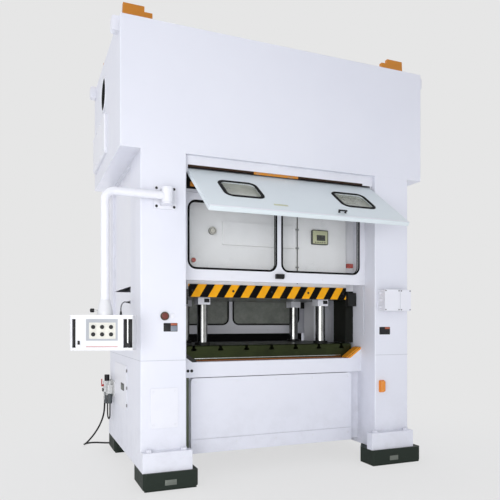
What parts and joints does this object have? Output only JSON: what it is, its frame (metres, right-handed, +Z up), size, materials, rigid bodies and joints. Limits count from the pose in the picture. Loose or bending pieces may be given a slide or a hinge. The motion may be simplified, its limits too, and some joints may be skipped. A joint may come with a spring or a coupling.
{
  "type": "straight-side hydraulic stamping press",
  "caption": "Straight-side hydraulic stamping press with a slotted bolster, guided slide, windowed guard doors, tilting front visor and a swing-arm operator pendant.",
  "frame": {"origin": "on the floor, midway between the four anchor holes in the pads", "axes": "+Z up, -Y towards the operator at the front, +X to the operator's right"},
  "size_m": [3.4733, 2.5468, 4.115],
  "materials": {
    "press_paint": "satin light paint",
    "guard_paint": "satin light paint",
    "orange_paint": "gloss orange paint",
    "pad_rubber": "matte",
    "table_steel": "ground steel, oiled",
    "bright_steel": "ground steel",
    "dark_steel": "black oxide",
    "clear_pane": "clear sheet",
    "hydraulic_paint": "satin grey paint",
    "grey_metal": "die cast",
    "black_plastic": "matte",
    "grey_plastic": "matte",
    "red_plastic": "gloss",
    "amber_plastic": "gloss",
    "yellow_plastic": "gloss",
    "smoke_plastic": "gloss",
    "hose_rubber": "matte",
    "lead_rubber": "matte"
  },
  "bodies": {
    "frame": {"isolator_pads": "pad_rubber", "foot_blocks": "press_paint", "bed": "press_paint", "bed_covers": "press_paint", "corner_gussets": "orange_paint", "bolster": "table_steel", "guide_posts": "bright_steel", "upright_left": "press_paint", "upright_right": "press_paint", "side_guards": "guard_paint", "bed_doors": "guard_paint", "crown": "press_paint", "crown_fittings": "guard_paint", "lifting_brackets": "orange_paint", "headers": "guard_paint", "tie_rods": "bright_steel", "gibs": "dark_steel", "cylinder_barrels": "hydraulic_paint", "oil_tank": "hydraulic_paint", "pump_set": "hydraulic_paint", "junction_box": "guard_paint", "signal_lamp": "amber_plastic", "stop_bezel": "yellow_plastic", "arm_bracket": "guard_paint", "air_regulator": "grey_metal", "air_bowls": "smoke_plastic", "air_oiler": "grey_metal", "air_hose": "hose_rubber", "hose_coupling": "bright_steel", "link_hose": "hose_rubber", "lead_gland": "grey_plastic", "pendant_lead": "lead_rubber"},
    "slide": {"slide": "guard_paint", "slide_guides": "dark_steel", "post_bushes": "dark_steel", "striped_bar": "yellow_plastic", "slide_instruments": "black_plastic", "piston_rams": "bright_steel"},
    "front_door": {"front_door": "guard_paint", "front_door_panes": "clear_pane", "door_latch": "black_plastic"},
    "rear_door": {"rear_door": "guard_paint", "rear_door_panes": "clear_pane"},
    "visor": {"visor": "guard_paint", "visor_panes": "clear_pane"},
    "arm": {"pendant_arm": "guard_paint"},
    "pendant": {"pendant_case": "guard_paint", "pendant_face": "grey_plastic", "pendant_hardware": "bright_steel"},
    "stop_button": {"stop_button": "red_plastic"},
    "regulator_knob": {"regulator_knob": "black_plastic"},
    "valve_lever": {"valve_lever": "red_plastic"},
    "drive_shaft": {"drive_shaft": "bright_steel"},
    "button_1": {"pendant_button_1": "black_plastic"},
    "button_2": {"pendant_button_2": "black_plastic"},
    "button_3": {"pendant_button_3": "black_plastic"},
    "button_4": {"pendant_button_4": "black_plastic"},
    "button_5": {"pendant_button_5": "black_plastic"},
    "button_6": {"pendant_button_6": "black_plastic"}
  },
  "joints": [
    {"name": "slide_stroke", "type": "slide", "parent": "frame", "child": "slide", "axis": [0, 0, -1], "range_m": [0, 0.15]},
    {"name": "front_door_lift", "type": "slide", "parent": "frame", "child": "front_door", "axis": [0, 0, -1], "range_m": [0, 0.5]},
    {"name": "rear_door_lift", "type": "slide", "parent": "frame", "child": "rear_door", "axis": [0, 0, 1], "range_m": [0, 0.5]},
    {"name": "visor_hinge", "type": "hinge", "parent": "frame", "child": "visor", "pos_m": [0, -0.78, 2.69], "axis": [1, 0, 0], "range_deg": [-20, 54]},
    {"name": "arm_swing", "type": "hinge", "parent": "frame", "child": "arm", "pos_m": [-1.14, -0.935, 2.42], "axis": [0, 0, 1], "range_deg": [-12, 5]},
    {"name": "pendant_swivel", "type": "hinge", "parent": "arm", "child": "pendant", "pos_m": [-1.642, -0.944, 1.5], "axis": [0, 0, 1], "range_deg": [-10, 10]},
    {"name": "stop_press", "type": "slide", "parent": "frame", "child": "stop_button", "axis": [0, 1, 0], "range_m": [0, 0.006], "stiffness_N_per_m": 800},
    {"name": "knob_turn", "type": "hinge", "parent": "frame", "child": "regulator_knob", "pos_m": [-1.394, 0.735, 0.78], "axis": [0, 0, 1], "range_deg": [-150, 150]},
    {"name": "lever_turn", "type": "hinge", "parent": "frame", "child": "valve_lever", "pos_m": [-1.43, 0.735, 0.702], "axis": [1, 0, 0], "range_deg": [0, 90]},
    {"name": "shaft_spin", "type": "hinge", "parent": "frame", "child": "drive_shaft", "pos_m": [-0.05, -0.52, 3.095], "axis": [1, 0, 0], "continuous": true},
    {"name": "button_1_press", "type": "slide", "parent": "pendant", "child": "button_1", "axis": [0.3801, 0.9249, 0], "range_m": [0, 0.005], "stiffness_N_per_m": 500},
    {"name": "button_2_press", "type": "slide", "parent": "pendant", "child": "button_2", "axis": [0.3801, 0.9249, 0], "range_m": [0, 0.005], "stiffness_N_per_m": 500},
    {"name": "button_3_press", "type": "slide", "parent": "pendant", "child": "button_3", "axis": [0.3801, 0.9249, 0], "range_m": [0, 0.005], "stiffness_N_per_m": 500},
    {"name": "button_4_press", "type": "slide", "parent": "pendant", "child": "button_4", "axis": [0.3801, 0.9249, 0], "range_m": [0, 0.005], "stiffness_N_per_m": 500},
    {"name": "button_5_press", "type": "slide", "parent": "pendant", "child": "button_5", "axis": [0.3801, 0.9249, 0], "range_m": [0, 0.005], "stiffness_N_per_m": 500},
    {"name": "button_6_press", "type": "slide", "parent": "pendant", "child": "button_6", "axis": [0.3801, 0.9249, 0], "range_m": [0, 0.005], "stiffness_N_per_m": 500}
  ]
}
